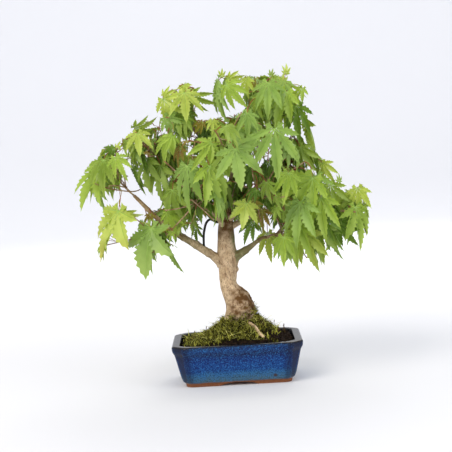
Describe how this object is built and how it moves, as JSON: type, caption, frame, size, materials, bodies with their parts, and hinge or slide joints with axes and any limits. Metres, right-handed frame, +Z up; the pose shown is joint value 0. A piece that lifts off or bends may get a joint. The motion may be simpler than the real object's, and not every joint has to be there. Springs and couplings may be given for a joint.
{
  "type": "japanese maple bonsai in a glazed pot",
  "caption": "Small japanese maple bonsai with a tapering leaning trunk, spreading boughs and hanging lobed leaves, standing in a glazed rectangular pot with cut corners.",
  "frame": {"origin": "on the ground, under the middle of the whole plant's outer box", "axes": "+Z up the plant, +X to the right seen from the front, +Y away from the front"},
  "size_m": [0.2905, 0.2004, 0.3058],
  "materials": {
    "pot": "glossy cobalt blue glaze, darker on the edges, over a bare terracotta foot",
    "soil": "damp dark crumbly planting soil",
    "moss": "dry olive moss with pale stalks",
    "bark": "tan bark with fine upright fissures",
    "wire": "black anodised training wire",
    "foliage": "thin satin yellow green leaves on red brown stalks"
  },
  "bodies": {
    "root": {"pot": "pot", "soil": "soil", "moss": "moss", "trunk": "bark", "left_bough": "bark", "left_spur": "bark", "left_upper_bough": "bark", "upper_left_bough": "bark", "front_left_bough": "bark", "right_bough": "bark", "right_far_bough": "bark", "front_right_bough": "bark", "right_slope_bough": "bark", "front_upper_bough": "bark", "back_left_bough": "bark", "back_right_bough": "bark", "back_upper_bough": "bark", "back_low_bough": "bark", "training_wire": "wire", "far_left_foliage": "foliage", "left_hanging_foliage": "foliage", "left_upper_foliage": "foliage", "upper_left_foliage": "foliage", "top_foliage": "foliage", "right_slope_foliage": "foliage", "far_right_foliage": "foliage", "right_low_foliage": "foliage", "front_left_foliage": "foliage", "front_right_foliage": "foliage", "front_upper_foliage": "foliage", "back_left_foliage": "foliage", "back_upper_foliage": "foliage", "back_right_foliage": "foliage", "back_low_foliage": "foliage"}
  },
  "joints": []
}
